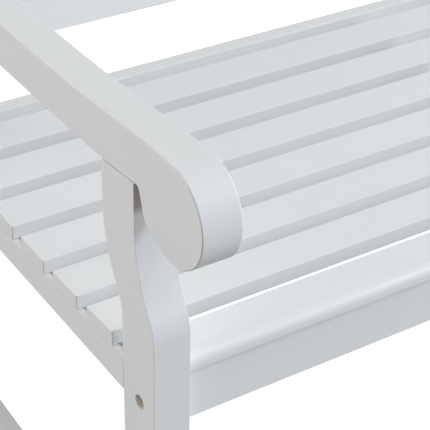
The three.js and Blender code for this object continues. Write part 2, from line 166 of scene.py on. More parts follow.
class BenchBoltSizes(PropertyGroup):
    """Sizes of the connector bolts and their holes"""

    head: distance("Head radius", "Radius of a bolt's flat head", 0.007)
    head_thickness: distance("Head thickness", "Thickness of a bolt's flat head", 0.0028)
    head_edge: distance("Head edge", "Radius of the head's rounded rim", 0.0007)
    shank: distance("Shank radius", "Radius of a bolt's shank", 0.003)
    socket: distance("Socket radius", "Radius over the corners of the hexagon socket", 0.0027)
    socket_depth: distance("Socket depth", "Depth of the hexagon socket", 0.002)
    counterbore: distance(
        "Counterbore radius", "Radius of the hole that a bolt's head sinks into", 0.0076)
    counterbore_depth: distance(
        "Counterbore depth", "Depth of the hole that a bolt's head sinks into", 0.0062)
    clearance: distance("Clearance", "Gap in a joint, and round a bolt or nut", 0.0003)
    nut_reach: distance("Nut reach", "Half the length of a barrel nut", 0.007)
    segments: IntProperty(
        name="Segments", description="Steps round a bolt or a hole, in whole sixths of a turn",
        default=48, min=24)


class BenchFinish(PropertyGroup):
    """Colours and surface of the paint and the plating, and the softness of the timber's edges"""

    paint: shade("Paint", "Colour of the paint", (0.86, 0.87, 0.88))
    # Colour towards which the painted shade in corners, in the notches and under the nosing, and
    # the darker outer front arrises are mixed.
    painted_shade_and_arris_colour: shade(
        "Thin paint", "Colour of the paint where it lies thin in corners", (0.48, 0.42, 0.36))
    plate: shade("Plating", "Colour of the bolts' plating", (0.78, 0.68, 0.55))
    arris: distance("Arris radius", "Radius of the timber's sanded edges", 0.0012)
    slat_arris: distance("Slat arris radius", "Radius of the seat slats' sanded edges", 0.0005)
    leg_arris: distance("Leg arris radius", "Radius of the front legs' sanded edges", 0.0006)
    rail_arris: distance(
        "Rail arris radius", "Radius of the side rails' edges under the slat ends", 0.0002)
    worn: FloatProperty(
        name="Worn arrises", description="How far the paint is worn on the outer front arrises",
        default=0.35, min=0, max=1)
    # Height of the painted shadow along the top of the apron under the front slat's nosing.
    nosing_shadow_height: distance("Joint line", "Height of the line of thin paint on the apron", 0.0008)
    # How far from a corner the painted shade reaches.
    corner_reach: distance("Corner reach", "How near a corner the paint starts to thin", 0.012)
    # Where the painted shade on the leg in the armrest's notch starts, turns dark and lies.
    notch_low: distance(
        "Notch paint end", "Height where the paint in the armrest's notch thins", 0.562)
    notch_high: distance(
        "Notch bare start", "Height where the leg in the notch is bare of paint", 0.574)
    notch_front: distance("Notch front", "Y just in front of the leg's face in the notch", -0.309)
    notch_rear: distance("Notch rear", "Y just behind the leg's face in the notch", -0.304)


class BenchStage(PropertyGroup):
    """The camera, the floor and the lights"""

    camera_place: FloatVectorProperty(
        name="Camera place", description="Where the camera stands", subtype="TRANSLATION", size=3,
        unit="LENGTH", default=(-1.1233, -1.2070, 1.2333))
    camera_yaw: degrees(
        "Camera yaw", "How far the camera looks to the right of straight back", 33.04)
    camera_pitch: degrees("Camera pitch", "How far the camera looks down", 32.93)
    camera_roll: degrees("Camera roll", "How far the camera leans to its right", 1.18)
    lens: FloatProperty(
        name="Lens", description="Focal length in millimetres on a 36 mm frame",
        default=121.48, subtype="DISTANCE_CAMERA")
    floor: shade("Floor", "Colour of the floor", (0.4, 0.4, 0.4))
    floor_glow: brightness("Floor glow", "Light that the lit floor gives off by itself", 0.9)
    high_glow: brightness("High glow", "Soft light from high at the front right", 0.89)
    low_glow: brightness("Low glow", "Soft light thrown up from the front right", 0.69)
    back_left_glow: brightness("Back left glow", "Soft light from behind the left end", 2.35)
    right_glow: brightness("Right glow", "Soft light from the right", 1.86)
    front_left_glow: brightness("Front left glow", "Soft light from the front left", 0.6)
    front_right_light: brightness(
        "Front right light", "Power of the light at the front right in watts", 36.5)


def corners(node):
    """Lowest and highest corner of a node of the frame, as arrays."""
    low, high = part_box(node)
    return np.array(low), np.array(high)


def datum():
    """Y of the front legs' rear faces and Z of the side rails' underside, from the frame."""
    low, _ = corners("left_side_rail")
    return low[1] - bpy.context.scene.bench_bolt.clearance, low[2]


def arc(centre, radius, start, end, count=24):
    """Points on a circle round centre, evenly from the start angle to the end angle."""
    angle = np.linspace(start, end, count + 1)
    return np.asarray(centre) + radius * np.stack([np.cos(angle), np.sin(angle)], axis=1)


def rounded(before, tip, after, radius, count=12):
    """Arc that rounds the corner at tip: its centre lies radius / sin(half angle) along the
    bisector of the two edges, and it turns by the angle between their directions."""
    tip = np.asarray(tip, float)
    back = np.asarray(before) - tip
    ahead = np.asarray(after) - tip
    back = back / np.linalg.norm(back)
    ahead = ahead / np.linalg.norm(ahead)
    half = math.acos(np.clip(back @ ahead, -1, 1)) / 2
    middle = (back + ahead) / np.linalg.norm(back + ahead) * radius / math.sin(half)
    touch = back * radius / math.tan(half) - middle
    start = math.atan2(touch[1], touch[0])
    turn = -np.sign(back[0] * ahead[1] - back[1] * ahead[0]) * (math.pi - 2 * half)
    return arc(tip + middle, radius, start, start + turn, count)


def rectangle(left, low, right, high):
    """The four corners of an outline, anticlockwise."""
    return [(left, low), (right, low), (right, high), (left, high)]


def anticlockwise(outline):
    """The outline, turned round if its shoelace area is negative."""
    u, v = outline.T
    area = np.sum(u * np.roll(v, -1) - v * np.roll(u, -1))
    return outline if area > 0 else outline[::-1]


def new_mesh(name, points, faces):
    """A mesh of the points and faces."""
    mesh = bpy.data.meshes.new(name)
    mesh.from_pydata(points, [], faces)
    mesh.update()
    return mesh


def new_object(name, data):
    """An object with the data, in the scene."""
    thing = bpy.data.objects.new(name, data)
    bpy.context.scene.collection.objects.link(thing)
    return thing


def prism(name, outline, low, high, place):
    """A board: the outline (u, v) stands at w = low and at w = high, place turns (u, v, w) into
    the frame's X, Y and Z, quads join the two rings and one face closes each end."""
    outline = anticlockwise(np.asarray(outline, float))
    count = len(outline)
    rings = [np.column_stack([outline, np.full(count, w)]) for w in (low, high)]
    points = np.vstack(rings) @ place[:3, :3].T + place[:3, 3]
    step = np.arange(count)
    ahead = (step + 1) % count
    sides = np.stack([step, ahead, ahead + count, step + count], axis=1)
    faces = sides.tolist() + [step[::-1].tolist(), (step + count).tolist()]
    return new_object(name, new_mesh(name, points, faces))


def side_view():
    """Place of an outline of Y and Z: u is Y, v is Z and w is X."""
    return np.array([[0, 0, 1, 0], [1, 0, 0, 0], [0, 1, 0, 0], [0, 0, 0, 1]], float)


def side_board(node, outline):
    """A node's board: an outline of Y and Z, as wide along X as the node's box."""
    low, high = corners(node)
    return prism(f"{node}_board", outline, low[0], high[0], side_view())


def leaning():
    """Place on the leaning back: u is X, v runs up the lean and w points to the front."""
    sizes = bpy.context.scene.bench_side
    y, z = bend_end()
    c, s = math.cos(sizes.rake), math.sin(sizes.rake)
    return np.array([[1, 0, 0, 0], [0, s, -c, y], [0, c, s, z], [0, 0, 0, 1]], float)


def bend_end():
    """Y and Z of the middle of a back post where its bend ends and its straight lean starts."""
    sizes = bpy.context.scene.bench_side
    _, rail_z = datum()
    middle, _ = bolt_place("left_rear_rail_bolt")
    y = middle + sizes.post_bend * (1 - math.cos(sizes.rake))
    z = rail_z + sizes.post_bend_start + sizes.post_bend * math.sin(sizes.rake)
    return y, z


def lean_point(across, along):
    """Y and Z of a point of the leaning back, across it to the rear and along it upwards."""
    rake = bpy.context.scene.bench_side.rake
    y, z = bend_end()
    return (y + across * math.cos(rake) + along * math.sin(rake),
            z - across * math.sin(rake) + along * math.cos(rake))


def rod(name, start, end, radius):
    """A plain round cutter between two points."""
    start, end = Vector(start), Vector(end)
    turn = (end - start).to_track_quat("Z", "Y").to_matrix().to_4x4()
    place = np.array(Matrix.Translation(start) @ turn)
    ring = arc((0, 0), radius, 0, math.tau, bpy.context.scene.bench_bolt.segments)[:-1]
    return prism(name, ring, 0, (end - start).length, place)


def cut(piece, cutters):
    """Takes the cutters out of the piece and removes them."""
    for cutter in cutters:
        step = piece.modifiers.new("cut", "BOOLEAN")
        step.operation = "DIFFERENCE"
        step.solver = "EXACT"
        step.object = cutter
    graph = bpy.context.evaluated_depsgraph_get()
    solid = bpy.data.meshes.new_from_object(piece.evaluated_get(graph))
    piece.modifiers.clear()
    old = piece.data
    piece.data = solid
    bpy.data.meshes.remove(old)
    for cutter in cutters:
        mesh = cutter.data
        bpy.data.objects.remove(cutter)
        bpy.data.meshes.remove(mesh)
    return piece


def soften(piece, radius, segments=3):
    """Rounds the edges that turn by more than 30 degrees and keeps the flat faces flat."""
    bevel = piece.modifiers.new("arris", "BEVEL")
    bevel.width = radius
    bevel.segments = segments
    bevel.limit_method = "ANGLE"
    bevel.angle_limit = math.radians(30)
    bevel.harden_normals = True
    bevel.use_clamp_overlap = True
    piece.data.polygons.foreach_set("use_smooth", np.ones(len(piece.data.polygons), bool))
    return piece


def timber(piece, node, grain, arris="arris"):
    """A finished board: rounded edges, paint, and its node and body in the frame."""
    soften(piece, getattr(bpy.context.scene.bench_finish, arris))
    piece.data.materials.clear()
    piece.data.materials.append(painted(grain))
    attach(piece, BODY)
    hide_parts(node)
    return piece


def node_tree(name):
    """A new material with its output and shader, its node tree and the shader."""
    material = bpy.data.materials.new(name)
    material.use_nodes = True
    tree = material.node_tree
    tree.nodes.clear()
    output = tree.nodes.new("ShaderNodeOutputMaterial")
    shader = tree.nodes.new("ShaderNodeBsdfPrincipled")
    tree.links.new(shader.outputs["BSDF"], output.inputs["Surface"])
    return material, tree, shader


def fed(tree, kind, inputs, **choices):
    """A new node with its choices made, and each input linked to a socket or set to a value."""
    node = tree.nodes.new(kind)
    for name, choice in choices.items():
        setattr(node, name, choice)
    for name, value in inputs.items():
        if isinstance(value, bpy.types.NodeSocket):
            tree.links.new(value, node.inputs[name])
        else:
            node.inputs[name].default_value = value
    return node


def noise(tree, place, scale, detail):
    """Socket with a noise texture read from the given coordinates."""
    inputs = {"Vector": place, "Scale": scale, "Detail": detail}
    return fed(tree, "ShaderNodeTexNoise", inputs).outputs["Fac"]


def span(tree, value, low, high, start=0.3, end=0.7, curve="LINEAR"):
    """Socket with the value's range from start to end, which for noise is its middle range,
    spread from low to high."""
    inputs = {"Value": value, "From Min": start, "From Max": end, "To Min": low, "To Max": high}
    return fed(tree, "ShaderNodeMapRange", inputs, interpolation_type=curve).outputs["Result"]


def fade(tree, value, start, end):
    """Socket that runs smoothly from 0 where the value is start to 1 where it is end."""
    return span(tree, value, 0, 1, start, end, "SMOOTHSTEP")


def worked_out(tree, operation, *values, clamp=False):
    """Socket with the result of a Math node on sockets and plain numbers."""
    inputs = dict(enumerate(values))
    node = fed(tree, "ShaderNodeMath", inputs, operation=operation, use_clamp=clamp)
    return node.outputs["Value"]


def product(tree, first, second):
    """Socket with two sockets' product."""
    return worked_out(tree, "MULTIPLY", first, second)


def band(tree, value, start, end, soft):
    """Socket that is 1 where the value lies between start and end, and runs smoothly to 0 over
    the soft distance outside them."""
    return product(tree, fade(tree, value, start - soft, start),
                   fade(tree, value, end + soft, end))


def tinted(tree, colour, strength):
    """Socket with a colour times a strength socket."""
    inputs = {0: colour, "Scale": strength}
    return fed(tree, "ShaderNodeVectorMath", inputs, operation="SCALE").outputs["Vector"]


def axes(tree, vector):
    """The X, Y and Z sockets of a vector socket."""
    return fed(tree, "ShaderNodeSeparateXYZ", {"Vector": vector}).outputs


def relief(tree, shader, height, strength, depth):
    """Gives the shader's surface the fine relief of a height socket."""
    inputs = {"Strength": strength, "Distance": depth, "Height": height}
    bump = fed(tree, "ShaderNodeBump", inputs)
    tree.links.new(bump.outputs["Normal"], shader.inputs["Normal"])


def painted_shade_and_arris_mask(tree, place, normal):
    """Socket that says how far the colour is darkened: painted shade in tight corners that don't
    face up, in the armrests' notches and along the top of the front apron under the nosing, and a
    darker line on the outer front edges."""
    finish = bpy.context.scene.bench_finish
    spot, facing = axes(tree, place), axes(tree, normal)
    inputs = {"Distance": finish.corner_reach}
    # Painted shade: darker where ambient occlusion finds a tight corner, fading out on faces that
    # look up.
    corner = fed(tree, "ShaderNodeAmbientOcclusion", inputs, samples=8)
    occlusion_shade = span(tree, corner.outputs["AO"], low=0, high=0.8, start=0.35, end=0.05)
    corner_shade = product(tree, occlusion_shade, fade(tree, facing["Z"], start=0.6, end=0.2))

    # Darker along the outer front arrises, those that face outwards and to the front, by the share
    # in the finish's worn setting.
    outwards = product(tree, facing["X"], worked_out(tree, "SIGN", spot["X"]))
    worn = fade(tree, product(tree, outwards, facing["Y"]), start=-0.15, end=-0.4)

    notch_soft, shadow_soft = 0.003, 0.001
    # Painted shade: the leg's face in each armrest's notch, under the heel, darkened towards the
    # shade colour.
    notch = product(
        tree, fade(tree, spot["Z"], finish.notch_low, finish.notch_high),
        band(tree, spot["Y"], finish.notch_front, finish.notch_rear, notch_soft))
    # Painted shadow: a line along the top of the apron's front face, under the front slat's
    # nosing.
    low, high = corners("front_apron")
    front, top = low[1], high[2]
    gap = bpy.context.scene.bench_bolt.clearance
    joint = product(
        tree, band(tree, spot["Z"], top - finish.nosing_shadow_height, top + gap, shadow_soft),
        band(tree, spot["Y"], front - shadow_soft, front + shadow_soft, shadow_soft))
    notch_and_nosing_shade = product(tree, worked_out(tree, "ADD", notch, joint, clamp=True),
                        fade(tree, facing["Y"], start=-0.2, end=-0.4))
    shade_share = worked_out(tree, "ADD", corner_shade, notch_and_nosing_shade)
    return worked_out(tree, "MULTIPLY_ADD", worn, finish.worn, shade_share, clamp=True)


def painted(grain):
    """White satin paint over softwood, its brush marks and grain drawn out along one axis."""
    name = f"white_satin_paint_along_{grain}"
    if name in bpy.data.materials:
        return bpy.data.materials[name]
    finish = bpy.context.scene.bench_finish
    material, tree, shader = node_tree(name)
    coordinates = tree.nodes.new("ShaderNodeTexCoord").outputs
    place = coordinates["Object"]
    drawn_out = 0.06
    scales = [drawn_out if axis == grain else 1 for axis in "xyz"]
    stretch = fed(tree, "ShaderNodeMapping", {"Vector": place, "Scale": scales})

    streaks = noise(tree, stretch.outputs["Vector"], scale=160, detail=4)
    clouds = noise(tree, place, scale=7, detail=2)
    orange_peel = noise(tree, place, scale=420, detail=2)
    tone = worked_out(tree, "ADD", span(tree, streaks, low=-0.010, high=0.010),
                      span(tree, clouds, low=0.985, high=1))
    coat = tinted(tree, finish.paint, tone)

    # Mixes the paint towards the shade colour where shade is painted and along the outer front
    # arrises.
    colour = tree.nodes.new("ShaderNodeMix")
    colour.data_type = "RGBA"
    tree.links.new(painted_shade_and_arris_mask(tree, place, coordinates["Normal"]), colour.inputs["Factor"])
    tree.links.new(coat, colour.inputs["A"])
    colour.inputs["B"].default_value = (*finish.painted_shade_and_arris_colour, 1)
    tree.links.new(colour.outputs["Result"], shader.inputs["Base Color"])
    tree.links.new(span(tree, streaks, low=0.34, high=0.46), shader.inputs["Roughness"])
    peel_share = 0.35
    height = worked_out(tree, "MULTIPLY_ADD", orange_peel, peel_share, streaks)
    relief(tree, shader, height, strength=0.12, depth=0.0004)
    return material


def plated():
    """Pale yellow zinc plating with faint clouds and fine scratches."""
    name = "pale_zinc_plating"
    if name in bpy.data.materials:
        return bpy.data.materials[name]
    finish = bpy.context.scene.bench_finish
    material, tree, shader = node_tree(name)
    place = tree.nodes.new("ShaderNodeTexCoord").outputs["Object"]
    clouds = noise(tree, place, scale=900, detail=3)
    scratches = noise(tree, place, scale=4000, detail=2)
    colour = tinted(tree, finish.plate, span(tree, clouds, low=0.82, high=1))
    tree.links.new(colour, shader.inputs["Base Color"])
    shader.inputs["Metallic"].default_value = 1
    tree.links.new(span(tree, scratches, low=0.3, high=0.45), shader.inputs["Roughness"])
    relief(tree, shader, scratches, strength=0.1, depth=0.00005)
    return material


class BENCH_OT_seat_slats(Operator):
    """Seat slats with rounded corners, each lying on the seat's dished curve"""

    bl_idname = "bench.seat_slats"
    bl_label = "Seat slats"

    def execute(self, context):
        sizes = context.scene.bench_seat
        leg_rear, _ = datum()
        half = sizes.slat_width / 2
        for number in LOOSE_SEAT_SLATS:
            node = f"seat_slat_{number}"
            low, high = corners(node)
            y, z = (low[1] + high[1]) / 2, (low[2] + high[2]) / 2
            run = y - leg_rear - sizes.dip
            slope = math.atan(run / (sizes.front_radius if run < 0 else sizes.rear_radius))
            ends = rectangle(low[0], -half, high[0], half)
            outline = np.vstack([
                rounded(ends[i - 1], ends[i], ends[(i + 1) % 4], sizes.slat_corner)
                for i in range(4)])
            place = np.array(Matrix.Translation((0, y, z)) @ Matrix.Rotation(slope, 4, "X"))
            reach = sizes.slat_thickness / 2
            piece = prism(f"{node}_board", outline, -reach, reach, place)
            timber(piece, node, "x", "slat_arris")
        return {"FINISHED"}


class BENCH_OT_front_slat(Operator):
    """Front slat between the legs, its front edge rolled over"""

    bl_idname = "bench.front_slat"
    bl_label = "Front slat"

    def execute(self, context):
        sizes = context.scene.bench_seat
        low, high = corners("seat_slat_1")
        front_top, front_low = (low[1], high[2]), (low[1], low[2])
        rear_top, rear_low = (high[1], high[2]), (high[1], low[2])
        outline = np.vstack([
            rear_top,
            rounded(rear_top, front_top, front_low, sizes.nosing),
            rounded(front_top, front_low, rear_low, sizes.nosing_under),
            rear_low])
        piece = side_board("seat_slat_1", outline)
        timber(piece, "seat_slat_1", "x", "slat_arris")
        return {"FINISHED"}


def seat_underside(y):
    """Height of the slats' undersides above the rails' underside at a distance behind the front
    legs: the seat's parabola, less the slat's thickness measured upright."""
    sizes = bpy.context.scene.bench_seat
    run = y - sizes.dip
    radius = np.where(run < 0, sizes.front_radius, sizes.rear_radius)
    return run ** 2 / (2 * radius) - sizes.slat_thickness / np.cos(np.arctan(run / radius))


def bearing_line(front, rear, height):
    """Y and Z of the curve that carries the slats, from front to rear, where it has the given
    height."""
    leg_rear, _ = datum()
    y = np.linspace(front, rear, 60)
    curve = seat_underside(y - leg_rear)
    return np.column_stack([y, curve - curve[-1] + height])


class BENCH_OT_side_rails(Operator):
    """Side rails with a lip under the slat ends and a rebate inside it"""

    bl_idname = "bench.side_rails"
    bl_label = "Side rails"

    def execute(self, context):
        sizes = context.scene.bench_seat
        for side, sign in zip(SIDES, (-1, 1)):
            node = f"{side}_side_rail"
            low, high = corners(node)
            top = bearing_line(low[1], high[1], high[2])
            piece = side_board(node, np.vstack([top, (high[1], low[2]), (low[1], low[2])]))
            outer = low[0] if sign < 0 else high[0]
            lip = outer - sign * sizes.rail_lip
            inner = outer - sign * 2 * (high[0] - low[0])
            over = np.array([0, sizes.rail_rebate])
            past = np.array([sizes.rail_rebate, 0])
            rebate = np.vstack([top - over, top[::-1] + over])
            rebate[[0, -1]] -= past
            rebate[[len(top) - 1, len(top)]] += past
            cutter = prism("rebate", rebate, min(lip, inner), max(lip, inner), side_view())
            timber(cut(piece, [cutter]), node, "y", "rail_arris")
        return {"FINISHED"}


def stepped_bore(outside, floor, through):
    """Cutters for a bolt: its head's counterbore down to a floor, and its shank's hole."""
    sizes = bpy.context.scene.bench_bolt
    return [rod("counterbore", outside, floor, sizes.counterbore),
            rod("bore", outside, through, sizes.shank + sizes.clearance)]


def outer_bores(side, places):
    """Counterbore and shank hole through a side frame's board at each place of Y and Z."""
    sizes = bpy.context.scene.bench_bolt
    low, high = corners(f"{side}_front_leg")
    sign = -1 if side == "left" else 1
    outer = low[0] if sign < 0 else high[0]
    past = 2 * sizes.counterbore
    cutters = []
    for y, z in places:
        outside = (outer + sign * past, y, z)
        floor = (outer - sign * sizes.counterbore_depth, y, z)
        through = (outer - sign * (high[0] - low[0] + past), y, z)
        cutters += stepped_bore(outside, floor, through)
    return cutters


def bolt_place(node):
    """Y and Z of the middle of a bolt that lies along X."""
    low, high = corners(node)
    return (low[1] + high[1]) / 2, (low[2] + high[2]) / 2


def rocker_circle():
    """Y and Z of the centre that the rockers' edges are struck from."""
    low, high = corners("left_rocker")
    return np.array([(low[1] + high[1]) / 2, bpy.context.scene.bench_side.rocker_radius])


def foot(front, rear, count=16):
    """Points along a foot's underside, a joint gap above the rocker's upper edge."""
    sizes = bpy.context.scene.bench_side
    centre = rocker_circle()
    reach = sizes.rocker_radius - sizes.rocker_depth - bpy.context.scene.bench_bolt.clearance
    y = np.linspace(front, rear, count)
    return np.column_stack([y, centre[1] - np.sqrt(reach ** 2 - (y - centre[0]) ** 2)])


def sweep(y, start, radius):
    """Rise of the armrest's top or underside above its level part: the square of the distance
    in front of the sweep's start, over twice the sweep's radius."""
    return np.maximum(0, start - y) ** 2 / (2 * radius)


def under_sweep(y):
    """Rise of the armrest's underside at a distance behind the front legs."""
    sizes = bpy.context.scene.bench_arm
    return sweep(y, sizes.under_start, sizes.under_sweep)


class BENCH_OT_front_legs(Operator):
    """Front legs with their S bend, counterbored for the apron's bolts"""

    bl_idname = "bench.front_legs"
    bl_label = "Front legs"

    def execute(self, context):
        sizes = context.scene.bench_side
        leg_rear, rail_z = datum()
        lower, upper = sizes.leg_lower_bend, sizes.leg_upper_bend
        bend = math.acos(1 - sizes.leg_set_back / (lower + upper))
        start = rail_z + sizes.leg_bend_start
        end = start + (lower + upper) * math.sin(bend)
        rear = np.vstack([
            arc((leg_rear + lower, start), lower, math.pi, math.pi - bend)[:-1],
            arc((leg_rear + sizes.leg_set_back - upper, end), upper, -bend, 0, 32)])
        y = np.linspace(sizes.leg_set_back, sizes.leg_set_back - sizes.leg_depth, 16)
        gap = context.scene.bench_bolt.clearance
        top = np.column_stack([y + leg_rear, arm_underside() + under_sweep(y) - gap])
        front = rear[::-1] - (sizes.leg_depth, 0)
        outline = np.vstack([foot(leg_rear - sizes.leg_depth, leg_rear), rear, top, front])
        for side in SIDES:
            node = f"{side}_front_leg"
            piece = side_board(node, outline)
            cut(piece, outer_bores(side, [bolt_place(f"{side}_apron_bolt")]))
            timber(piece, node, "z", "leg_arris")
        return {"FINISHED"}


def post_length():
    """Length of a back post along its lean, from the end of its bend to its top."""
    sizes = bpy.context.scene.bench_back
    return (sizes.lower_start + sizes.lower_height + sizes.reveal + sizes.top_height
            + sizes.top_drop)


class BENCH_OT_back_posts(Operator):
    """Back posts, upright under the seat and leaning back above it"""

    bl_idname = "bench.back_posts"
    bl_label = "Back posts"

    def execute(self, context):
        sizes = context.scene.bench_side
        _, rail_z = datum()
        middle, _ = bolt_place("left_rear_rail_bolt")
        half = sizes.post_depth / 2
        centre = (middle + sizes.post_bend, rail_z + sizes.post_bend_start)
        front = arc(centre, sizes.post_bend + half, math.pi, math.pi - sizes.rake)
        rear = arc(centre, sizes.post_bend - half, math.pi - sizes.rake, math.pi)
        front_top = lean_point(-half, post_length())
        rear_top = lean_point(half, post_length())
        outline = np.vstack([
            front,
            rounded(front[-1], front_top, rear_top, sizes.post_top),
            rounded(front_top, rear_top, rear[0], sizes.post_top),
            rear,
            foot(middle - half, middle + half)[::-1]])
        for side in SIDES:
            node = f"{side}_back_post"
            _, high = corners(node)
            outline[:, 1] = np.minimum(outline[:, 1], high[2])
            piece = side_board(node, outline)
            bolts = [f"{side}_{name}_bolt" for name in ("rear_rail", "lower_back", "top_back")]
            cut(piece, outer_bores(side, [bolt_place(bolt) for bolt in bolts]))
            timber(piece, node, "z")
        return {"FINISHED"}


def arm_underside():
    """Height of the armrests' level underside: the scroll's top less the crown and thickness."""
    sizes = bpy.context.scene.bench_arm
    _, high = corners("left_armrest")
    return high[2] - sizes.crown_rise - sizes.thickness


def meeting(point, direction, other, other_direction):
    """Where a line through point meets a line through other: point plus the direction scaled by
    the ratio of the two cross products with the other direction."""
    point, direction = np.asarray(point, float), np.asarray(direction, float)
    between = np.asarray(other, float) - point
    reach = (between[0] * other_direction[1] - between[1] * other_direction[0]) / (
        direction[0] * other_direction[1] - direction[1] * other_direction[0])
    return point + reach * direction


class BENCH_OT_armrests(Operator):
    """Armrests that sweep up to a scroll, with a heel under it in front of the leg"""

    bl_idname = "bench.armrests"
    bl_label = "Armrests"

    def execute(self, context):
        sizes = context.scene.bench_arm
        leg_rear, _ = datum()
        low, high = corners("left_armrest")
        level = arm_underside()
        centre = (low[1] + sizes.scroll, high[2] - sizes.scroll)
        reach = math.sqrt(2 * sizes.top_sweep * sizes.crown_rise)
        crown_y = sizes.top_start - reach
        crown_share = 0.12
        y = np.linspace(sizes.top_start, crown_y + crown_share * reach, 40)
        rise = sweep(y, sizes.top_start, sizes.top_sweep)
        top = np.column_stack([leg_rear + y, level + sizes.thickness + rise])
        scroll = arc(centre, sizes.scroll, math.pi / 2, 1.5 * math.pi + sizes.heel_tangent, 90)
        notch = (leg_rear - sizes.notch_ahead, level + under_sweep(-sizes.notch_ahead))
        heel = meeting(scroll[-1], (math.cos(sizes.heel_tangent), math.sin(sizes.heel_tangent)),
                       notch, (math.sin(sizes.heel_lean), math.cos(sizes.heel_lean)))
        y = np.linspace(2 * sizes.notch - sizes.notch_ahead, sizes.under_start, 40)
        under = np.column_stack([leg_rear + y, level + under_sweep(y)])
        rear_low = high[1] - sizes.thickness * math.tan(context.scene.bench_side.rake)
        outline = np.vstack([
            top,
            rounded(top[-1], (leg_rear + crown_y, high[2]), scroll[0], sizes.crown),
            scroll,
            rounded(scroll[-1], heel, notch, sizes.heel_corner),
            rounded(heel, notch, under[0], sizes.notch),
            under,
            (rear_low, level),
            (high[1], level + sizes.thickness)])
        for side in SIDES:
            node = f"{side}_armrest"
            timber(side_board(node, outline), node, "y")
        return {"FINISHED"}


class BENCH_OT_rockers(Operator):
    """Rockers: bands between two arcs round one centre, with rounded tips"""

    bl_idname = "bench.rockers"
    bl_label = "Rockers"

    def execute(self, context):
        sizes = context.scene.bench_side
        bolt = context.scene.bench_bolt
        centre = rocker_circle()
        tip = sizes.rocker_depth / 2
        middle = sizes.rocker_radius - tip
        low, high = corners("left_rocker")
        reach = math.asin(((high[1] - low[1]) / 2 - tip) / middle)
        start, end = -math.pi / 2 - reach, -math.pi / 2 + reach
        spot = [centre + middle * np.array([math.cos(a), math.sin(a)]) for a in (start, end)]
        outline = np.vstack([
            arc(centre, sizes.rocker_radius, start, end, 120),
            arc(spot[1], tip, end, end + math.pi)[1:-1],
            arc(centre, sizes.rocker_radius - sizes.rocker_depth, end, start, 120),
            arc(spot[0], tip, start - math.pi, start)[1:-1]])
        for side in SIDES:
            node = f"{side}_rocker"
            piece = side_board(node, outline)
            cutters = []
            for name in ("front", "rear"):
                head, tip_end = corners(f"{side}_{name}_rocker_bolt")
                x, y = (head[:2] + tip_end[:2]) / 2
                floor = head[2] + bolt.head_thickness + bolt.clearance
                cutters += stepped_bore((x, y, -tip), (x, y, floor), (x, y, tip_end[2]))
            timber(cut(piece, cutters), node, "y")
        return {"FINISHED"}


def nut_pockets(name, thickness, place):
    """Round pockets for the barrel nuts, from the rear of a rail, in the rail's own place."""
    sizes = bpy.context.scene.bench_bolt
    turn = np.linalg.inv(place)
    cutters = []
    for side in SIDES:
        low, high = corners(f"{side}_{name}_nut")
        nut = turn @ np.append((low + high) / 2, 1)
        radius = (high[0] - low[0]) / 2 + sizes.clearance
        rear = place @ (nut + (0, 0, -thickness, 0))
        floor = place @ (nut + (0, 0, sizes.nut_reach + sizes.clearance, 0))
        cutters.append(rod("pocket", rear[:3], floor[:3], radius))
    return cutters


class BENCH_OT_seat_rails(Operator):
    """Front apron, rear rail and the support under the middle of the seat"""

    bl_idname = "bench.seat_rails"
    bl_label = "Seat rails"

    def execute(self, context):
        upright = np.array([[1, 0, 0, 0], [0, 0, -1, 0], [0, 1, 0, 0], [0, 0, 0, 1]], float)
        for node, name in (("front_apron", "apron"), ("rear_seat_rail", "rear_rail")):
            low, high = corners(node)
            outline = rectangle(low[0], low[2], high[0], high[2])
            piece = prism(f"{node}_board", outline, -high[1], -low[1], upright)
            cut(piece, nut_pockets(name, high[1] - low[1], upright))
            timber(piece, node, "x")
        node = "centre_seat_support"
        low, high = corners(node)
        slat_low, slat_high = corners("seat_slat_1")
        rest = slat_low[2] - context.scene.bench_bolt.clearance
        top = bearing_line(slat_high[1], high[1], high[2])
        outline = np.vstack([
            (low[1], rest), (slat_high[1], rest), top[1:], (high[1], low[2]), (low[1], low[2])])
        timber(side_board(node, outline), node, "y")
        return {"FINISHED"}


def back_slat_box(number):
    """X of the two edges of a back slat."""
    low, high = corners(f"back_slat_{number:02d}")
    return low[0], high[0]


class BENCH_OT_back_rails(Operator):
    """Lower and top back rails, mortised for the slats"""

    bl_idname = "bench.back_rails"
    bl_label = "Back rails"

    def execute(self, context):
        sizes = context.scene.bench_back
        gap = context.scene.bench_bolt.clearance
        place = leaning()
        half = sizes.rail_thickness / 2
        reach = sizes.slat_thickness / 2 + gap
        lower_top = sizes.lower_start + sizes.lower_height
        top_start = lower_top + sizes.reveal
        rails = (("lower_back", sizes.lower_start, lower_top, lower_top, -1),
                 ("top_back", top_start, top_start + sizes.top_height, top_start, 1))
        for name, start, end, edge, inward in rails:
            node = f"{name}_rail"
            low, high = corners(node)
            outline = rectangle(low[0], start, high[0], end)
            piece = prism(f"{node}_board", outline, -half, half, place)
            cutters = nut_pockets(name, sizes.rail_thickness, place)
            for number in BACK_SLATS:
                left, right = back_slat_box(number)
                floor = edge + inward * sizes.mortise
                past = edge - inward * sizes.mortise
                hole = rectangle(left - gap, floor, right + gap, past)
                cutters.append(prism("mortise", hole, -reach, reach, place))
            timber(cut(piece, cutters), node, "x")
        return {"FINISHED"}


class BENCH_OT_back_slats(Operator):
    """Upright slats of the back, standing in the rails' mortises"""

    bl_idname = "bench.back_slats"
    bl_label = "Back slats"

    def execute(self, context):
        sizes = context.scene.bench_back
        gap = context.scene.bench_bolt.clearance
        place = leaning()
        start = sizes.lower_start + sizes.lower_height - sizes.mortise + gap
        end = start + sizes.reveal + 2 * (sizes.mortise - gap)
        half = sizes.slat_thickness / 2
        for number in BACK_SLATS:
            node = f"back_slat_{number:02d}"
            left, right = back_slat_box(number)
            outline = rectangle(left, start, right, end)
            timber(prism(f"{node}_board", outline, -half, half, place), node, "z")
        return {"FINISHED"}


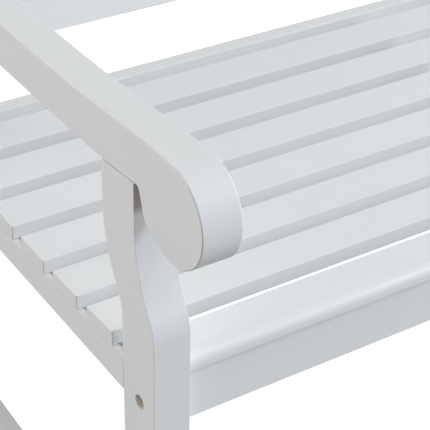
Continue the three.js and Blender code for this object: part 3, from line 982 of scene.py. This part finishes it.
def turned_bolt(name, length):
    """A bolt along +Z, the shank's root at 0: radius is a function of the step down the profile
    and of the angle, round on the head and shank and six-sided, r cos 30 / cos(angle from the
    nearest flat), in the socket."""
    sizes = bpy.context.scene.bench_bolt
    angle = np.arange(sizes.segments) * math.tau / sizes.segments
    flat = np.mod(angle, math.pi / 3) - math.pi / 6
    hexagon = math.cos(math.pi / 6) / np.cos(flat)
    rim = arc((sizes.head - sizes.head_edge, sizes.head_edge - sizes.head_thickness),
              sizes.head_edge, -math.pi / 2, 0, 5)
    socket_floor = sizes.socket_depth - sizes.head_thickness
    tip_share, centre_share, floor_share, mouth_share = 0.3, 0.2, 0.97, 1.08
    edge = 0.0002
    tip = sizes.shank * tip_share
    point = sizes.shank - tip
    round_rows = np.vstack([
        rim, (sizes.head, 0), (sizes.shank, 0), (sizes.shank, length - tip),
        (point, length), (point / 2, length)])
    socket_rows = np.array([
        (sizes.socket * centre_share, socket_floor), (sizes.socket * floor_share, socket_floor),
        (sizes.socket, socket_floor - edge), (sizes.socket, edge - sizes.head_thickness),
        (sizes.socket * mouth_share, -sizes.head_thickness)])
    radius = np.vstack([np.outer(socket_rows[:, 0], hexagon),
                        np.outer(round_rows[:, 0], np.ones_like(angle))])
    height = np.concatenate([socket_rows[:, 1], round_rows[:, 1]])
    rows, count = radius.shape
    points = np.stack([radius * np.cos(angle), radius * np.sin(angle),
                       np.repeat(height[:, None], count, axis=1)], axis=2).reshape(-1, 3)
    row, col = np.meshgrid(np.arange(rows - 1), np.arange(count), indexing="ij")
    ahead = (col + 1) % count
    quads = np.stack([row * count + col, row * count + ahead,
                      (row + 1) * count + ahead, (row + 1) * count + col], axis=2).reshape(-1, 4)
    ring = np.arange(count)
    faces = quads.tolist() + [ring[::-1].tolist(), (ring + (rows - 1) * count).tolist()]
    return new_mesh(name, points, faces)


class BENCH_OT_bolts(Operator):
    """Connector bolts with flat heads and hexagon sockets, and the finish of the barrel nuts"""

    bl_idname = "bench.bolts"
    bl_label = "Bolts"

    def execute(self, context):
        sizes = context.scene.bench_bolt
        names = [f"{side}_{place}_bolt" for side in SIDES for place in
                 ("apron", "rear_rail", "lower_back", "top_back", "front_rocker", "rear_rocker")]
        for node in names:
            low, high = corners(node)
            middle = (low + high) / 2
            upward = node.endswith("rocker_bolt")
            length = (high - low)[2 if upward else 0] - sizes.head_thickness
            mesh = turned_bolt(f"{node}_turned", length)
            if upward:
                place = Matrix.Translation((middle[0], middle[1], low[2] + sizes.head_thickness))
            else:
                left = node.startswith("left")
                root = low[0] + sizes.head_thickness if left else high[0] - sizes.head_thickness
                turn = Matrix.Rotation(math.pi / 2 if left else -math.pi / 2, 4, "Y")
                place = Matrix.Translation((root, middle[1], middle[2])) @ turn
            mesh.transform(place)
            mesh.polygons.foreach_set("use_smooth", np.ones(len(mesh.polygons), bool))
            mesh.set_sharp_from_angle(angle=math.radians(35))
            piece = new_object(f"{node}_turned", mesh)
            mesh.materials.append(plated())
            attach(piece, BODY)
            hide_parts(node)
        for node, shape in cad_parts.items():
            if node.endswith("_nut"):
                shape.data.materials.clear()
                shape.data.materials.append(plated())
        return {"FINISHED"}


def pale_floor():
    """Evenly lit plain pale floor."""
    stage = bpy.context.scene.bench_stage
    material, _, shader = node_tree("pale_studio_floor")
    shader.inputs["Base Color"].default_value = (*stage.floor, 1)
    shader.inputs["Roughness"].default_value = 0.9
    shader.inputs["Emission Color"].default_value = (1, 1, 1, 1)
    shader.inputs["Emission Strength"].default_value = stage.floor_glow
    return material


def glow(tree, heading, azimuth, height, strength, tint):
    """Socket with a soft glow round one direction: strength times tint times the fourth power
    of the cosine of the angle between the heading and that direction, and none behind it."""
    turn, rise = math.radians(azimuth), math.radians(height)
    aim = (math.cos(turn) * math.cos(rise), math.sin(turn) * math.cos(rise), math.sin(rise))
    near = fed(tree, "ShaderNodeVectorMath", {0: heading, 1: aim}, operation="DOT_PRODUCT")
    ahead = worked_out(tree, "MAXIMUM", near.outputs["Value"], 0)
    falloff = worked_out(tree, "POWER", ahead, 4)
    return tinted(tree, [strength * share for share in tint], falloff)


def studio_sky():
    """World with five soft glows, each with its azimuth and height in degrees and its tint."""
    stage = bpy.context.scene.bench_stage
    world = bpy.data.worlds.new("studio_sky")
    world.use_nodes = True
    tree = world.node_tree
    heading = tree.nodes.new("ShaderNodeTexCoord").outputs["Generated"]
    glows = [glow(tree, heading, 315, 50, stage.high_glow, (0.98, 0.98, 1)),
             glow(tree, heading, 315, -35, stage.low_glow, (1, 0.96, 0.92)),
             glow(tree, heading, 135, 12, stage.back_left_glow, (1, 0.97, 0.92)),
             glow(tree, heading, 0, 12, stage.right_glow, (0.98, 0.97, 0.92)),
             glow(tree, heading, 225, 12, stage.front_left_glow, (0.77, 0.84, 1))]
    total = glows[0]
    for light in glows[1:]:
        both = fed(tree, "ShaderNodeVectorMath", {0: total, 1: light}, operation="ADD")
        total = both.outputs["Vector"]
    tree.links.new(total, tree.nodes["Background"].inputs["Color"])
    return world


def area_light(name, place, target, size, power, colour):
    """A square light at a place, turned to a target."""
    lamp = bpy.data.lights.new(name, "AREA")
    lamp.size = size
    lamp.energy = power
    lamp.color = colour
    light = new_object(name, lamp)
    light.location = place
    light.rotation_euler = (Vector(target) - Vector(place)).to_track_quat("-Z", "Y").to_euler()


class BENCH_OT_stage(Operator):
    """Camera at the photograph's viewing angle, pale floor and soft studio lights"""

    bl_idname = "bench.stage"
    bl_label = "Stage"

    def execute(self, context):
        stage = context.scene.bench_stage
        yaw, pitch, roll = stage.camera_yaw, stage.camera_pitch, stage.camera_roll
        ahead = Vector((math.sin(yaw) * math.cos(pitch), math.cos(yaw) * math.cos(pitch),
                        -math.sin(pitch)))
        level = Vector((math.cos(yaw), -math.sin(yaw), 0))
        above = level.cross(ahead)
        right = level * math.cos(roll) + above * math.sin(roll)
        up = above * math.cos(roll) - level * math.sin(roll)
        lens = bpy.data.cameras.new("photo_camera")
        lens.sensor_width = 36
        lens.lens = stage.lens
        lens.clip_end = 100
        camera = new_object("photo_camera", lens)
        turn = Matrix((right, up, -ahead)).transposed().to_4x4()
        camera.matrix_world = Matrix.Translation(stage.camera_place) @ turn
        context.scene.camera = camera
        context.scene.view_settings.view_transform = "Standard"

        half_width = 20
        ends = [(x, y, 0) for x, y in rectangle(-half_width, -half_width, half_width, half_width)]
        sheet = new_mesh("studio_floor", ends, [(0, 1, 2, 3)])
        floor = new_object("studio_floor", sheet)
        sheet.materials.append(pale_floor())
        floor.visible_diffuse = False
        floor.visible_glossy = False
        floor.visible_shadow = False

        context.scene.world = studio_sky()
        area_light("front_right_light", place=(1.82, -1.93, 2.05), target=(-0.3, -0.15, 0.45),
                   size=0.8, power=stage.front_right_light, colour=(0.85, 0.95, 1))
        return {"FINISHED"}


STEPS = (
    BENCH_OT_stage,
    BENCH_OT_seat_slats,
    BENCH_OT_front_slat,
    BENCH_OT_seat_rails,
    BENCH_OT_side_rails,
    BENCH_OT_front_legs,
    BENCH_OT_back_posts,
    BENCH_OT_armrests,
    BENCH_OT_rockers,
    BENCH_OT_back_rails,
    BENCH_OT_back_slats,
    BENCH_OT_bolts,
)

SETTINGS = {
    "bench_seat": BenchSeatSizes,
    "bench_side": BenchSideSizes,
    "bench_arm": BenchArmSizes,
    "bench_back": BenchBackSizes,
    "bench_bolt": BenchBoltSizes,
    "bench_finish": BenchFinish,
    "bench_stage": BenchStage,
}


class BENCH_PT_panel(Panel):
    """Lists the bench's steps and settings"""

    bl_idname = "BENCH_PT_panel"
    bl_label = "Rocking Bench"
    bl_space_type = "VIEW_3D"
    bl_region_type = "UI"
    bl_category = "Bench"

    def draw(self, context):
        for step in STEPS:
            self.layout.operator(step.bl_idname)
        for name, group in SETTINGS.items():
            box = self.layout.box()
            for setting in group.__annotations__:
                box.prop(getattr(context.scene, name), setting)


def register():
    for group in SETTINGS.values():
        bpy.utils.register_class(group)
    for name, group in SETTINGS.items():
        setattr(bpy.types.Scene, name, PointerProperty(type=group))
    for step in (*STEPS, BENCH_PT_panel):
        bpy.utils.register_class(step)


def unregister():
    for step in reversed((*STEPS, BENCH_PT_panel)):
        bpy.utils.unregister_class(step)
    for name in SETTINGS:
        delattr(bpy.types.Scene, name)
    for group in reversed(SETTINGS.values()):
        bpy.utils.unregister_class(group)


def main():
    """Builds every piece in order."""
    register()
    for step in STEPS:
        group, name = step.bl_idname.split(".")
        getattr(getattr(bpy.ops, group), name)()


if __name__ == "__main__":
    main()
